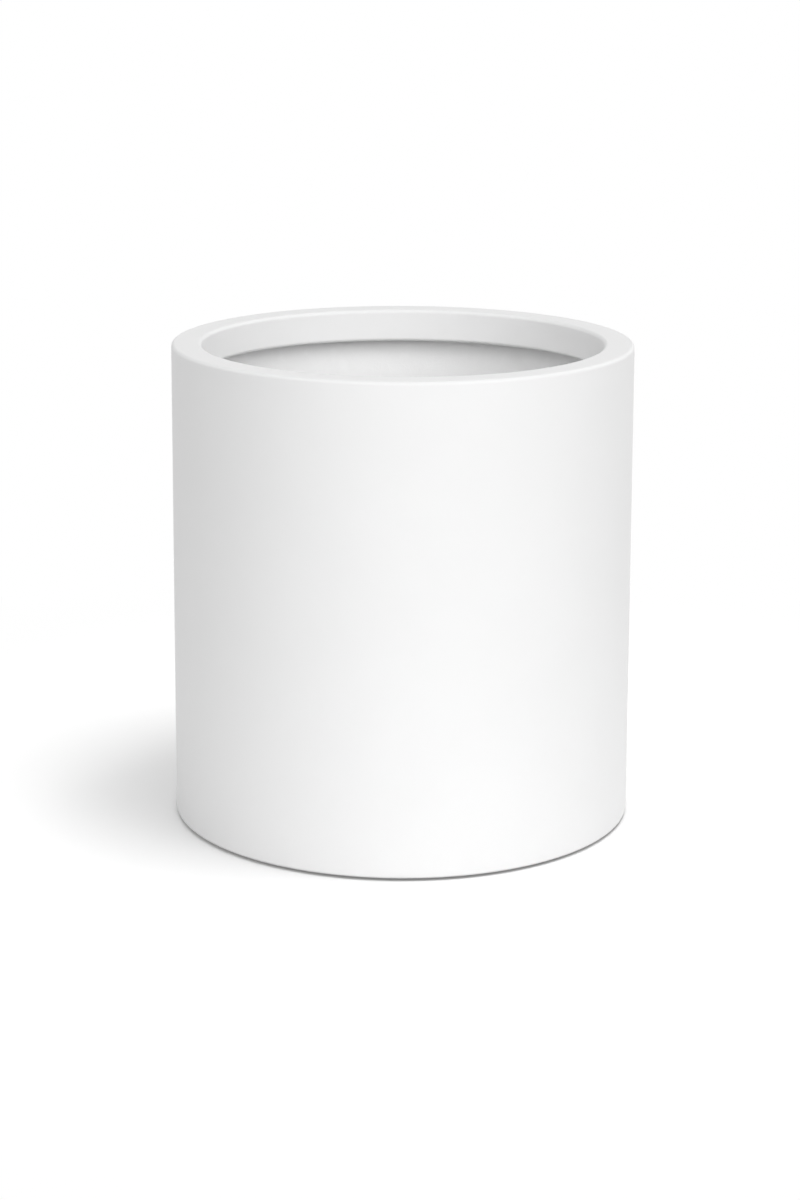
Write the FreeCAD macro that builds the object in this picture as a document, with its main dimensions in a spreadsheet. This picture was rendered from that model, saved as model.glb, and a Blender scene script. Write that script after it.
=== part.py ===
import FreeCAD, Part
import os

import Sketcher

# Round floor planter in glass-fibre laminate.
# The origin is the centre of the footprint on the ground, +Z is up, and every size is in millimetres.
#
# One moulded skin of even thickness makes the wall, the rim and the return lip. A floor panel is set a
# little way up inside the foot and is tied to the wall by a strip of laminate. The drain hole in its
# middle is closed by a rubber plug. Four rubber pads under the panel carry the planter, and hold the foot
# just clear of the ground.

SIZES = [
    ("outer_diameter", 460),
    ("overall_height", 480),
    ("laminate", 5),  # thickness of the moulded skin
    ("rim_width", 30),  # outside of the wall to the inside of the lip
    ("lip_depth", 34),  # top of the rim to the lower edge of the lip
    ("foot_clearance", 2),  # ground to the foot
    ("rim_edge_radius", 3.5),
    ("mouth_edge_radius", 4),
    ("lip_edge_radius", 4),
    ("foot_edge_radius", 3),
    ("hollow_corner_radius", 3),  # corners inside the skin
    ("trimmed_edge_radius", 0.8),  # edges that were cut and sanded
    ("panel_thickness", 6),
    ("panel_gap", 1.5),  # edge of the floor panel to the wall
    ("bond_thickness", 2.5),
    ("bond_leg", 45),  # how far the strip runs up the wall and across the floor
    ("bond_corner_radius", 12),
    ("bond_feather", 1.8),  # bevel along both edges of the strip
    ("drain_diameter", 30),
    ("plug_clearance", 0.1),  # between the widest part of the stem and the hole
    ("plug_taper", 1.4),  # by how much the stem's radius shrinks downwards
    ("plug_stem_length", 9.5),
    ("plug_flange_diameter", 44),
    ("plug_flange_thickness", 4),
    ("plug_edge_radius", 1.2),
    ("grip_length", 26),
    ("grip_height", 12),  # above the flange
    ("grip_web", 5),  # thickness of the grip's upright
    ("grip_bead_width", 9),  # thickness of the bar along its top
    ("grip_bead_height", 5),
    ("grip_root", 1),  # how deep the upright starts inside the flange
    ("pad_height", 8),  # ground to the underside of the floor panel
    ("pad_diameter", 25),  # where it is stuck to the panel
    ("pad_taper", 1.5),  # by how much its radius shrinks downwards
    ("pad_edge_radius", 1.5),
    ("pad_circle_radius", 180),
]

PAD_COUNT = 4
FULL_TURN = 360
TOUCH = 1e-4  # how close an edge must lie to the place it is looked for, in mm

# Radii and heights that several pieces share, as formulas on the sheet.
OUTER = "sizes.outer_diameter / 2"
WALL_INSIDE = "(sizes.outer_diameter / 2 - sizes.laminate)"
MOUTH = "(sizes.outer_diameter / 2 - sizes.rim_width)"
LIP_BACK = "(sizes.outer_diameter / 2 - sizes.rim_width + sizes.laminate)"
PANEL_EDGE = "(sizes.outer_diameter / 2 - sizes.laminate - sizes.panel_gap)"
TOP = "sizes.overall_height"
RIM_UNDERSIDE = "(sizes.overall_height - sizes.laminate)"
LIP_BOTTOM = "(sizes.overall_height - sizes.lip_depth)"
FOOT_BOTTOM = "sizes.foot_clearance"
PANEL_UNDERSIDE = "sizes.pad_height"
PANEL_TOP = "(sizes.pad_height + sizes.panel_thickness)"

doc = FreeCAD.newDocument("floor_planter")
sheet = doc.addObject("Spreadsheet::Sheet", "sizes")
for row, (alias, size) in enumerate(SIZES, start=1):
    sheet.set(f"A{row}", alias)
    sheet.set(f"B{row}", str(size))
    sheet.setAlias(f"B{row}", alias)
doc.recompute()


def value(formula):
    """What a formula on the sheet gives, as a plain number."""
    return float(sheet.evalExpression(formula))


def new_body(label):
    body = doc.addObject("PartDesign::Body", label)
    body.Label = label
    return body


def origin_plane(body, role):
    return next(f for f in body.Origin.OriginFeatures if f.Role == role)


def new_sketch(body, name, plane):
    sketch = body.newObject("Sketcher::SketchObject", name)
    sketch.AttachmentSupport = [(origin_plane(body, plane), "")]
    sketch.MapMode = "FlatFace"
    return sketch


def bind(sketch, kind, line, formula):
    """Holds the start of a line at a distance from the sketch's origin, or on the axis if that is 0."""
    size = value(formula)
    if abs(size) < TOUCH:
        axis = -2 if kind == "DistanceX" else -1
        sketch.addConstraint(Sketcher.Constraint("PointOnObject", line, 1, axis))
        return
    held = sketch.addConstraint(Sketcher.Constraint(kind, -1, 1, line, 1, size))
    sketch.setExpression(f"Constraints[{held}]", formula)


def outline(body, name, plane, corners):
    """A closed outline of straight lines through corners, each a pair of formulas: across, up."""
    sketch = new_sketch(body, name, plane)
    places = [FreeCAD.Vector(value(across), value(up), 0) for across, up in corners]
    following = places[1:] + places[:1]
    for start, end in zip(places, following):
        sketch.addGeometry(Part.LineSegment(start, end), False)
    for line in range(len(places)):
        after = (line + 1) % len(places)
        sketch.addConstraint(Sketcher.Constraint("Coincident", line, 2, after, 1))
    for line, (across, up) in enumerate(corners):
        bind(sketch, "DistanceX", line, across)
        bind(sketch, "DistanceY", line, up)
    doc.recompute()
    return sketch


def circle(body, name, diameter):
    """A circle about the body's own Z axis."""
    sketch = new_sketch(body, name, "XY_Plane")
    centre = FreeCAD.Vector(0, 0, 0)
    sketch.addGeometry(Part.Circle(centre, FreeCAD.Vector(0, 0, 1), value(diameter) / 2), False)
    sketch.addConstraint(Sketcher.Constraint("Coincident", 0, 3, -1, 1))
    held = sketch.addConstraint(Sketcher.Constraint("Diameter", 0, value(diameter)))
    sketch.setExpression(f"Constraints[{held}]", diameter)
    doc.recompute()
    return sketch


def turn(body, name, corners):
    """A solid turned about the Z axis from a section in the XZ plane."""
    section = outline(body, name + "_section", "XZ_Plane", corners)
    turned = body.newObject("PartDesign::Revolution", name)
    turned.Profile = section
    turned.ReferenceAxis = (section, ["V_Axis"])
    turned.Angle = FULL_TURN
    doc.recompute()
    return turned


def pad(body, name, sketch, length, midplane=False):
    padded = body.newObject("PartDesign::Pad", name)
    padded.Profile = sketch
    padded.setExpression("Length", length)
    padded.Midplane = midplane
    doc.recompute()
    return padded


def ring_edge(shape, radius, height):
    """Name of the circular edge about the Z axis at a radius and a height."""
    for number, edge in enumerate(shape.Edges, start=1):
        if not isinstance(edge.Curve, Part.Circle):
            continue
        centre = edge.Curve.Center
        off_axis = abs(centre.x) + abs(centre.y)
        miss = abs(edge.Curve.Radius - radius) + abs(centre.z - height)
        if off_axis + miss < TOUCH:
            return f"Edge{number}"
    raise ValueError(f"no edge at radius {radius}, height {height}")


def ease(body, kind, name, size, edge_names):
    """Rounds (kind Fillet) or bevels (kind Chamfer) edges of the body as it is so far."""
    base = body.Tip
    eased = body.newObject("PartDesign::" + kind, name)
    eased.Base = (base, edge_names)
    eased.setExpression("Radius" if kind == "Fillet" else "Size", size)
    doc.recompute()
    return eased


def ease_rings(body, kind, name, size, rings):
    """Rounds or bevels the circular edges at the given pairs of formulas: radius, height."""
    shape = body.Tip.Shape
    named = [ring_edge(shape, value(radius), value(height)) for radius, height in rings]
    return ease(body, kind, name, size, named)


def make_shell():
    """The moulded skin: wall, rim and return lip."""
    body = new_body("shell")
    turn(body, "skin", [
        (WALL_INSIDE, FOOT_BOTTOM),
        (OUTER, FOOT_BOTTOM),
        (OUTER, TOP),
        (MOUTH, TOP),
        (MOUTH, LIP_BOTTOM),
        (LIP_BACK, LIP_BOTTOM),
        (LIP_BACK, RIM_UNDERSIDE),
        (WALL_INSIDE, RIM_UNDERSIDE),
    ])
    ease_rings(body, "Fillet", "rim_edge", "sizes.rim_edge_radius", [(OUTER, TOP)])
    ease_rings(body, "Fillet", "mouth_edge", "sizes.mouth_edge_radius", [(MOUTH, TOP)])
    ease_rings(body, "Fillet", "lip_edge", "sizes.lip_edge_radius", [(MOUTH, LIP_BOTTOM)])
    ease_rings(body, "Fillet", "foot_edge", "sizes.foot_edge_radius", [(OUTER, FOOT_BOTTOM)])
    ease_rings(body, "Fillet", "hollow_corners", "sizes.hollow_corner_radius", [
        (LIP_BACK, RIM_UNDERSIDE),
        (WALL_INSIDE, RIM_UNDERSIDE),
    ])
    ease_rings(body, "Fillet", "trimmed_edges", "sizes.trimmed_edge_radius", [
        (LIP_BACK, LIP_BOTTOM),
        (WALL_INSIDE, FOOT_BOTTOM),
    ])
    return body


def make_base_panel():
    """The floor disc, with the drain hole."""
    body = new_body("base_panel")
    disc = circle(body, "disc_outline", "2 * " + PANEL_EDGE)
    pad(body, "disc", disc, "sizes.panel_thickness")
    whole = body.Tip.Shape.Volume
    hole = body.newObject("PartDesign::Pocket", "drain_hole")
    hole.Profile = circle(body, "drain_outline", "sizes.drain_diameter")
    hole.Type = "ThroughAll"
    hole.Midplane = True
    doc.recompute()
    if body.Tip.Shape.Volume >= whole:
        raise ValueError("the drain hole cuts nothing")
    body.setExpression("Placement.Base.z", PANEL_UNDERSIDE)
    return body


def make_base_bond():
    """The laminate strip in the corner of floor and wall, with a key that fills the gap between them."""
    body = new_body("base_bond")
    strip_face = f"({WALL_INSIDE} - sizes.bond_thickness)"
    strip_edge = f"({WALL_INSIDE} - sizes.bond_leg)"
    floor_face = f"({PANEL_TOP} + sizes.bond_thickness)"
    wall_edge = f"({PANEL_TOP} + sizes.bond_leg)"
    turn(body, "strip", [
        (WALL_INSIDE, PANEL_UNDERSIDE),
        (WALL_INSIDE, wall_edge),
        (strip_face, wall_edge),
        (strip_face, floor_face),
        (strip_edge, floor_face),
        (strip_edge, PANEL_TOP),
        (PANEL_EDGE, PANEL_TOP),
        (PANEL_EDGE, PANEL_UNDERSIDE),
    ])
    ease_rings(body, "Fillet", "cove", "sizes.bond_corner_radius", [(strip_face, floor_face)])
    ease_rings(body, "Chamfer", "feathered_edges", "sizes.bond_feather", [
        (strip_face, wall_edge),
        (strip_edge, floor_face),
    ])
    return body


def make_drain_plug():
    """The rubber stopper: a tapered stem, a flange that lies on the floor, and a bar to pull it by."""
    body = new_body("drain_plug")
    stem_top = "(sizes.drain_diameter / 2 - sizes.plug_clearance)"
    stem_bottom = f"({stem_top} - sizes.plug_taper)"
    stem_end = "(-sizes.plug_stem_length)"
    flange_edge = "sizes.plug_flange_diameter / 2"
    flange_top = "sizes.plug_flange_thickness"
    turn(body, "stopper", [
        ("0", stem_end),
        (stem_bottom, stem_end),
        (stem_top, "0"),
        (flange_edge, "0"),
        (flange_edge, flange_top),
        ("0", flange_top),
    ])
    ease_rings(body, "Fillet", "stopper_edges", "sizes.plug_edge_radius", [
        (stem_bottom, stem_end),
        (flange_edge, flange_top),
    ])
    half_web = "sizes.grip_web / 2"
    half_bead = "sizes.grip_bead_width / 2"
    root = f"({flange_top} - sizes.grip_root)"
    grip_top = f"({flange_top} + sizes.grip_height)"
    bead_bottom = f"({grip_top} - sizes.grip_bead_height)"
    grip = outline(body, "grip_section", "YZ_Plane", [
        (f"-({half_web})", root),
        (half_web, root),
        (half_web, bead_bottom),
        (half_bead, bead_bottom),
        (half_bead, grip_top),
        (f"-({half_bead})", grip_top),
        (f"-({half_bead})", bead_bottom),
        (f"-({half_web})", bead_bottom),
    ])
    pad(body, "grip", grip, "sizes.grip_length", midplane=True)
    edges = body.Tip.Shape.Edges
    bead_edges = [
        f"Edge{number}"
        for number, edge in enumerate(edges, start=1)
        if edge.BoundBox.ZMin > value(bead_bottom) - TOUCH and edge.BoundBox.YLength < value(half_bead)
        and abs(edge.CenterOfMass.y) > value(half_web) + TOUCH
    ]
    ease(body, "Fillet", "grip_edges", "sizes.plug_edge_radius", bead_edges)
    body.setExpression("Placement.Base.z", PANEL_TOP)
    return body


def make_foot_pad(number):
    """A tapered rubber pad from the underside of the floor panel to the ground."""
    body = new_body(f"foot_pad_{number}")
    stuck_edge = "sizes.pad_diameter / 2"
    ground_edge = f"({stuck_edge} - sizes.pad_taper)"
    turn(body, "pad", [
        ("0", "0"),
        (ground_edge, "0"),
        (stuck_edge, "sizes.pad_height"),
        ("0", "sizes.pad_height"),
    ])
    ease_rings(body, "Fillet", "ground_rounding", "sizes.pad_edge_radius", [(ground_edge, "0")])
    angle = (number - 0.5) * FULL_TURN / PAD_COUNT
    body.setExpression("Placement.Base.x", f"sizes.pad_circle_radius * cos({angle} deg)")
    body.setExpression("Placement.Base.y", f"sizes.pad_circle_radius * sin({angle} deg)")
    return body


pieces = [
    make_shell(),
    make_base_panel(),
    make_base_bond(),
    make_drain_plug(),
    *[make_foot_pad(number) for number in range(1, PAD_COUNT + 1)],
]
doc.recompute()

for thing in doc.Objects:
    if {"Invalid", "Error"} & set(thing.State):
        raise RuntimeError(f"{thing.Label} did not recompute: {thing.State}")
for piece in pieces:
    if piece.Shape.isNull() or not piece.Shape.isValid():
        raise RuntimeError(f"{piece.Label} has no valid shape")

os.makedirs("parts", exist_ok=True)
for piece in pieces:
    piece.Shape.exportStep(f"parts/{piece.Label}.step")
    box = piece.Shape.BoundBox
    solids = len(piece.Shape.Solids)
    print(f"{piece.Label}: {solids} solid, {piece.Shape.Volume:.0f} mm3, z {box.ZMin:.2f} to {box.ZMax:.2f}")
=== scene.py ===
import math

import bmesh
import bpy
from bpy.props import FloatProperty, FloatVectorProperty, IntProperty, PointerProperty
from mathutils import Matrix, Vector, noise


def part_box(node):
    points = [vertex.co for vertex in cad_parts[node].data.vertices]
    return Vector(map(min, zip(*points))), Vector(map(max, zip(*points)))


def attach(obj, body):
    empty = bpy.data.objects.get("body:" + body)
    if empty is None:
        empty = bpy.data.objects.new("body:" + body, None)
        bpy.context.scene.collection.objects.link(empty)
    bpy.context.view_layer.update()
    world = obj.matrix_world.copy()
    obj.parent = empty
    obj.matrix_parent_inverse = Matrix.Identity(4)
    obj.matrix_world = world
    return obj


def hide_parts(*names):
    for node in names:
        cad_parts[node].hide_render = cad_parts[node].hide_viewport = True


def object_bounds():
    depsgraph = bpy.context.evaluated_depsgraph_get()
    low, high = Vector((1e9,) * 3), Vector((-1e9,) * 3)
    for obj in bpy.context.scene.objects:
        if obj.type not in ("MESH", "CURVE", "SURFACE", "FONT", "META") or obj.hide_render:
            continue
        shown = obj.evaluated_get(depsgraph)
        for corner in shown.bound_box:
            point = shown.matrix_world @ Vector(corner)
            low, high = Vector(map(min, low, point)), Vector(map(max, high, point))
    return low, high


bl_info = {
    "name": "Round laminate floor planter",
    "version": (1, 0, 0),
    "blender": (4, 5, 0),
    "location": "View3D > Sidebar > Planter",
    "description": "Builds a round glass-fibre floor planter with drain stopper, foot bumpers and studio",
    "category": "Add Mesh",
}

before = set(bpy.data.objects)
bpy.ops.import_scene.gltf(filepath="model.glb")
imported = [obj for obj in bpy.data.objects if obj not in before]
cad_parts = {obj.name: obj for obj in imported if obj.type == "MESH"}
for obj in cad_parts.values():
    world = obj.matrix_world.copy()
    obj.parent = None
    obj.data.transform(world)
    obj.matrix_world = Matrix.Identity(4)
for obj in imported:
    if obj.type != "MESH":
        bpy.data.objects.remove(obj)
CAD_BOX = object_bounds()

SHELL_LOW, SHELL_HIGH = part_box("shell")
PANEL_LOW, PANEL_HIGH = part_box("base_panel")
BOND_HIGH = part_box("base_bond")[1]
PLUG_LOW, PLUG_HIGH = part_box("drain_plug")
PAD_LOW, PAD_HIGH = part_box("foot_pad_1")
PAD_COUNT = sum(node.startswith("foot_pad_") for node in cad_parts)

MM = 0.001
AXIS = Vector((0, 0, 1))
WELD = 1e-6  # vertices nearer than this are one, in metres
DOUBLINGS = 4  # a turned piece starts as a sector, which is doubled this many times
CREASE = math.radians(40)  # edges sharper than this stay sharp in the shading
SEED_STEPS = (1.7, 2.3, 3.1)  # each seed moves the noise on by this much along X, Y and Z

PHOTO_SIZE = (800, 1200)  # pixels of the reference frame
SENSOR = 36.0  # mm along the photograph's longer side

MAT_OVERLAPS = (-172, -48, 22)  # degrees round the wall, where two lengths of mat overlap
GELCOAT, FLOWCOAT, TRIM = range(3)  # the shell's finishes, in the order of its material slots
STRAND_TURNS = (4, 31, 57, 84, 109, 138, 163)  # degrees, one for each layer of strands
STRAND_ALONG = 22.0  # strands are about this many to the metre, end to end
STRAND_ACROSS = 620.0  # and this many side by side
STRAND_STEP = (0.37, 0.21, 0.53)  # from one layer's pattern to the next, in metres
RESIN_IOR = 1.5
RUBBER_IOR = 1.52
MIX_FIRST_COLOR, MIX_SECOND_COLOR, MIX_COLOR = 6, 7, 2  # the Mix node's colour sockets, by number

WHITE = (1, 1, 1, 1)
PLANTER_LAMPS = {"key": 35, "fill": -15, "back_left": -120, "back_right": 135}  # turns, in degrees
PLANTER_LAMP_RISE = 30  # degrees
PLANTER_LAMP_DISTANCE = 6.0
PLANTER_LAMP_SIZE = 4.0
FLOOR_LAMPS = {"overhead": (0, 89, 1.4), "shadow": (60, 76, 1.2)}  # turn and rise in degrees, and size
FLOOR_LAMP_DISTANCE = 3.0


# ---------------------------------------------------------------- sizes and colours


class ShellSizes(bpy.types.PropertyGroup):
    """The moulded skin: wall, rim and return lip."""

    outer_radius: FloatProperty(
        name="Outer radius", description="Axis to the outside of the wall",
        default=SHELL_HIGH.x, min=0.05, unit="LENGTH",
    )
    foot_height: FloatProperty(
        name="Foot height", description="Ground to the foot edge",
        default=SHELL_LOW.z, min=0, unit="LENGTH",
    )
    overall_height: FloatProperty(
        name="Overall height", description="Ground to the top of the rim",
        default=SHELL_HIGH.z, min=0.05, unit="LENGTH",
    )
    laminate: FloatProperty(
        name="Laminate", description="Thickness of the moulded skin",
        default=5 * MM, min=1 * MM, unit="LENGTH",
    )
    rim_width: FloatProperty(
        name="Rim width", description="Outside of the wall to the inside of the lip",
        default=30 * MM, min=10 * MM, unit="LENGTH",
    )
    lip_depth: FloatProperty(
        name="Lip depth", description="Top of the rim to the lower edge of the lip",
        default=34 * MM, min=10 * MM, unit="LENGTH",
    )
    rim_edge: FloatProperty(
        name="Rim edge", description="Radius of the rim's outer edge",
        default=3.5 * MM, min=0.5 * MM, unit="LENGTH",
    )
    mouth_edge: FloatProperty(
        name="Mouth edge", description="Radius of the rim's inner edge",
        default=4 * MM, min=0.5 * MM, unit="LENGTH",
    )
    lip_edge: FloatProperty(
        name="Lip edge", description="Radius of the lip's lower edge",
        default=4 * MM, min=0.5 * MM, unit="LENGTH",
    )
    foot_edge: FloatProperty(
        name="Foot edge", description="Radius of the foot's outer edge",
        default=3 * MM, min=0.5 * MM, unit="LENGTH",
    )
    hollow_corner: FloatProperty(
        name="Hollow corners", description="Radius of the corners inside the skin",
        default=3 * MM, min=0.5 * MM, unit="LENGTH",
    )
    trimmed_edge: FloatProperty(
        name="Trimmed edges", description="Radius of the edges that were cut and sanded",
        default=0.8 * MM, min=0.1 * MM, unit="LENGTH",
    )
    relief: FloatProperty(
        name="Laminate relief", description="How far the hand-laid inside of the wall swells and sinks",
        default=0.45 * MM, min=0, unit="LENGTH",
    )
    overlap_width: FloatProperty(
        name="Mat overlap", description="Width of the bands where two lengths of mat overlap",
        default=48 * MM, min=0, unit="LENGTH",
    )
    overlap_step: FloatProperty(
        name="Overlap step", description="How far an overlap stands proud of the inside of the wall",
        default=0.6 * MM, min=0, unit="LENGTH",
    )
    steps: IntProperty(
        name="Steps", description="Divisions round the planter", default=384, min=16,
    )


class FloorSizes(bpy.types.PropertyGroup):
    """The floor disc and the laminate strip that ties it in."""

    panel_radius: FloatProperty(
        name="Panel radius", description="Radius of the floor disc",
        default=PANEL_HIGH.x, min=0.02, unit="LENGTH",
    )
    panel_bottom: FloatProperty(
        name="Panel underside", description="Ground to the underside of the floor disc",
        default=PANEL_LOW.z, min=0, unit="LENGTH",
    )
    panel_top: FloatProperty(
        name="Panel top", description="Ground to the top of the floor disc",
        default=PANEL_HIGH.z, min=0, unit="LENGTH",
    )
    drain_radius: FloatProperty(
        name="Drain hole", description="Radius of the drain hole",
        default=15 * MM, min=2 * MM, unit="LENGTH",
    )
    hole_edge: FloatProperty(
        name="Sanded edge", description="Radius of the edges of the disc and its hole",
        default=0.6 * MM, min=0.1 * MM, unit="LENGTH",
    )
    seat_radius: FloatProperty(
        name="Stopper seat", description="The disc is flat out to this radius, for the stopper",
        default=30 * MM, min=0, unit="LENGTH",
    )
    bond_outer: FloatProperty(
        name="Bond outer radius", description="Where the strip lies against the wall",
        default=BOND_HIGH.x, min=0.02, unit="LENGTH",
    )
    bond_top: FloatProperty(
        name="Bond top", description="Ground to the upper edge of the strip",
        default=BOND_HIGH.z, min=0, unit="LENGTH",
    )
    bond_thickness: FloatProperty(
        name="Bond thickness", description="Thickness of the strip",
        default=2.5 * MM, min=0.5 * MM, unit="LENGTH",
    )
    bond_leg: FloatProperty(
        name="Bond leg", description="How far the strip runs in across the floor from the wall",
        default=45 * MM, min=5 * MM, unit="LENGTH",
    )
    bond_cove: FloatProperty(
        name="Bond cove", description="Radius of the corner between floor and wall",
        default=12 * MM, min=1 * MM, unit="LENGTH",
    )
    bond_feather: FloatProperty(
        name="Bond feather", description="Rounding of the strip's two long edges",
        default=1.9 * MM, min=0.1 * MM, unit="LENGTH",
    )
    bond_wander: FloatProperty(
        name="Bond wander", description="How far the strip's hand-cut edges wander",
        default=3.5 * MM, min=0, unit="LENGTH",
    )
    bond_lengths: IntProperty(
        name="Bond lengths", description="Pieces of strip laid end over end round the floor",
        default=3, min=1,
    )
    relief: FloatProperty(
        name="Laminate relief", description="How far the laid surfaces swell and sink",
        default=0.3 * MM, min=0, unit="LENGTH",
    )


class StopperSizes(bpy.types.PropertyGroup):
    """The rubber drain stopper."""

    flange_radius: FloatProperty(
        name="Flange radius", description="Radius of the disc that lies on the floor",
        default=PLUG_HIGH.x, min=5 * MM, unit="LENGTH",
    )
    flange_thickness: FloatProperty(
        name="Flange thickness", description="Thickness of the disc",
        default=4 * MM, min=1 * MM, unit="LENGTH",
    )
    flange_edge: FloatProperty(
        name="Flange edge", description="Radius of the disc's edges",
        default=1.2 * MM, min=0.1 * MM, unit="LENGTH",
    )
    bottom: FloatProperty(
        name="Stem end", description="Ground to the lower end of the stem",
        default=PLUG_LOW.z, min=0, unit="LENGTH",
    )
    top: FloatProperty(
        name="Grip top", description="Ground to the top of the grip bar",
        default=PLUG_HIGH.z, min=0, unit="LENGTH",
    )
    seal_radius: FloatProperty(
        name="Seal radius", description="Radius of the sealing rings on the stem",
        default=14.9 * MM, min=2 * MM, unit="LENGTH",
    )
    stem_radius: FloatProperty(
        name="Stem radius", description="Radius of the stem between the rings",
        default=14.1 * MM, min=2 * MM, unit="LENGTH",
    )
    seal_count: IntProperty(
        name="Seal rings", description="Sealing rings on the stem", default=3, min=1,
    )
    grip_length: FloatProperty(
        name="Grip length", description="Length of the grip bar",
        default=26 * MM, min=5 * MM, unit="LENGTH",
    )
    grip_web: FloatProperty(
        name="Grip web", description="Thickness of the grip's upright",
        default=5 * MM, min=1 * MM, unit="LENGTH",
    )
    bead_width: FloatProperty(
        name="Grip bead width", description="Thickness of the bar along the top of the grip",
        default=9 * MM, min=1 * MM, unit="LENGTH",
    )
    bead_height: FloatProperty(
        name="Grip bead height", description="Height of the bar along the top of the grip",
        default=5 * MM, min=1 * MM, unit="LENGTH",
    )
    rib_count: IntProperty(
        name="Grip ribs", description="Finger ribs on each side of the grip", default=7, min=1,
    )
    steps: IntProperty(
        name="Steps", description="Divisions round the stopper", default=128, min=16,
    )


class BumperSizes(bpy.types.PropertyGroup):
    """The rubber foot bumpers."""

    circle_radius: FloatProperty(
        name="Bumper circle", description="Planter axis to the centre of a bumper",
        default=180 * MM, min=10 * MM, unit="LENGTH",
    )
    height: FloatProperty(
        name="Height", description="Ground to the underside of the floor",
        default=PAD_HIGH.z, min=1 * MM, unit="LENGTH",
    )
    top_radius: FloatProperty(
        name="Top radius", description="Radius where the bumper is stuck on",
        default=(PAD_HIGH.x - PAD_LOW.x) / 2, min=2 * MM, unit="LENGTH",
    )
    taper: FloatProperty(
        name="Taper", description="By how much the radius shrinks downwards",
        default=1.5 * MM, min=0, unit="LENGTH",
    )
    edge: FloatProperty(
        name="Ground edge", description="Radius of the lower edge",
        default=1.5 * MM, min=0.1 * MM, unit="LENGTH",
    )
    tape: FloatProperty(
        name="Tape", description="Thickness of the adhesive layer under the floor",
        default=0.8 * MM, min=0.1 * MM, unit="LENGTH",
    )
    steps: IntProperty(
        name="Steps", description="Divisions round a bumper", default=96, min=16,
    )


class Finishes(bpy.types.PropertyGroup):
    """Colours and roughness of the finishes."""

    gelcoat_color: FloatVectorProperty(
        name="Gelcoat", description="Moulded outside, rim and lip",
        default=(0.88, 0.88, 0.88, 1), size=4, min=0, max=1, subtype="COLOR",
    )
    gelcoat_roughness: FloatProperty(
        name="Gelcoat roughness", description="How satin the gelcoat is",
        default=0.5, min=0, max=1, subtype="FACTOR",
    )
    gelcoat_gloss: FloatProperty(
        name="Gelcoat gloss", description="Strength of the gelcoat's reflections",
        default=0.16, min=0, max=1, subtype="FACTOR",
    )
    # Painted light: the flowcoat is set lighter than the coat's own white, in place of light that the lamps
    # don't bring inside the planter.
    flowcoat_color_with_painted_light: FloatVectorProperty(
        name="Flowcoat", description="Brushed coat on the hand-laid inside and the floor",
        default=(0.97, 0.97, 0.97, 1), size=4, min=0, max=1, subtype="COLOR",
    )
    flowcoat_roughness: FloatProperty(
        name="Flowcoat roughness", description="How dull the brushed coat is",
        default=0.55, min=0, max=1, subtype="FACTOR",
    )
    trim_color: FloatVectorProperty(
        name="Trimmed laminate", description="Cut and sanded edge under the foot",
        default=(0.70, 0.69, 0.62, 1), size=4, min=0, max=1, subtype="COLOR",
    )
    rubber_color: FloatVectorProperty(
        name="Rubber", description="Stopper and foot bumpers",
        default=(0.03, 0.03, 0.03, 1), size=4, min=0, max=1, subtype="COLOR",
    )
    rubber_roughness: FloatProperty(
        name="Rubber roughness", description="How dull the rubber is",
        default=0.62, min=0, max=1, subtype="FACTOR",
    )
    rubber_gloss: FloatProperty(
        name="Rubber gloss", description="Strength of the rubber's reflections",
        default=0.28, min=0, max=1, subtype="FACTOR",
    )
    tape_color: FloatVectorProperty(
        name="Tape", description="Foam tape on the foot bumpers",
        default=(0.32, 0.32, 0.31, 1), size=4, min=0, max=1, subtype="COLOR",
    )


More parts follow.
